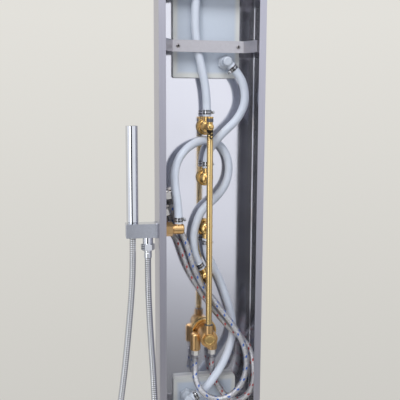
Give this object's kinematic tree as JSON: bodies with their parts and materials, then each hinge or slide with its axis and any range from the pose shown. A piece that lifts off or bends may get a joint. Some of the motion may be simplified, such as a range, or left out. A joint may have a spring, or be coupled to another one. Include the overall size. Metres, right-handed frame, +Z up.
{
  "type": "mixer shower column",
  "caption": "Wall-hung steel shower column with brass mixer, riser and stop valves, body jets, flexible hoses and a handset on a side holder.",
  "frame": {"origin": "centre of the upper wall bracket's two holes, on the wall plane", "axes": "+X across the width, +Y from the wall into the room, +Z up"},
  "size_m": [0.3207, 0.12, 1.4125],
  "materials": {
    "stainless_sheet": "bright rolled",
    "brass": "turned",
    "chrome_plate": "polished",
    "abs_moulding": "moulded satin",
    "white_plastic": "moulded",
    "silicone": "matt",
    "black_rubber": "matt",
    "steel_fastener": "plain",
    "cartridge_plastic": "moulded",
    "white_hose": "extruded",
    "spiral_hose": "polished strip",
    "steel_braid": "braided wire",
    "nickel_brass": "nickel plated"
  },
  "bodies": {
    "column": {"panel_tray": "stainless_sheet", "upper_wall_bracket": "stainless_sheet", "lower_wall_bracket": "stainless_sheet", "upper_jet_housing": "abs_moulding", "lower_jet_housing": "abs_moulding", "upper_jet_face": "chrome_plate", "lower_jet_face": "chrome_plate", "upper_nozzle_mat": "silicone", "lower_nozzle_mat": "silicone", "upper_straps": "stainless_sheet", "lower_straps": "stainless_sheet", "upper_jet_elbow": "white_plastic", "lower_jet_elbow": "white_plastic", "jet_elbow_nuts": "white_plastic", "strap_screws": "steel_fastener", "stop_cartridges": "cartridge_plastic", "stop_valve_nuts": "brass", "panel_washers": "black_rubber", "riser_pipe": "brass", "mixer_body": "brass", "mixer_end_cap": "brass", "mixer_lock_ring": "brass", "mixer_escutcheon": "chrome_plate", "mixer_front_nut": "brass", "temperature_cartridge": "cartridge_plastic", "outlet_elbow": "brass", "overhead_elbow": "brass", "lock_nuts": "brass", "holder_flange": "chrome_plate", "holder_block": "chrome_plate", "outlet_nipple": "chrome_plate", "hose_nut": "chrome_plate", "hose_ferrule": "chrome_plate", "handset_cone": "chrome_plate", "handset_handle": "chrome_plate", "handset_head": "chrome_plate", "handset_spray_face": "silicone", "overhead_hose": "white_hose", "upper_jet_hose": "white_hose", "handset_feed_hose": "white_hose", "lower_jet_hose": "white_hose", "shower_hose": "spiral_hose", "cold_inlet_hose": "steel_braid", "hot_inlet_hose": "steel_braid", "cold_inlet_nut": "nickel_brass", "hot_inlet_nut": "nickel_brass", "inlet_ferrules": "steel_fastener", "inlet_tails": "nickel_brass", "hose_clamps": "steel_fastener", "stop_valve_body_1": "brass", "stop_valve_body_2": "brass", "stop_valve_body_3": "brass", "stop_valve_body_4": "brass"},
    "stop_knob_1": {"stop_knob_1": "chrome_plate"},
    "stop_knob_2": {"stop_knob_2": "chrome_plate"},
    "stop_knob_3": {"stop_knob_3": "chrome_plate"},
    "stop_knob_4": {"stop_knob_4": "chrome_plate"},
    "temperature_knob": {"temperature_knob": "chrome_plate"},
    "knob_button": {"knob_button": "chrome_plate"}
  },
  "joints": [
    {"name": "stop_knob_1_turn", "type": "hinge", "parent": "column", "child": "stop_knob_1", "pos_m": [0, 0.08, -0.4], "axis": [0, 1, 0], "range_deg": [0, 90]},
    {"name": "stop_knob_2_turn", "type": "hinge", "parent": "column", "child": "stop_knob_2", "pos_m": [0, 0.08, -0.5], "axis": [0, 1, 0], "range_deg": [0, 90]},
    {"name": "stop_knob_3_turn", "type": "hinge", "parent": "column", "child": "stop_knob_3", "pos_m": [0, 0.08, -0.6], "axis": [0, 1, 0], "range_deg": [0, 90]},
    {"name": "stop_knob_4_turn", "type": "hinge", "parent": "column", "child": "stop_knob_4", "pos_m": [0, 0.08, -0.7], "axis": [0, 1, 0], "range_deg": [0, 90]},
    {"name": "temperature_turn", "type": "hinge", "parent": "column", "child": "temperature_knob", "pos_m": [0, 0.08, -0.816], "axis": [0, 1, 0], "range_deg": [-135, 135]},
    {"name": "button_press", "type": "slide", "parent": "temperature_knob", "child": "knob_button", "axis": [0, 0, -1], "range_m": [0, 0.0025], "stiffness_N_per_m": 1500}
  ]
}
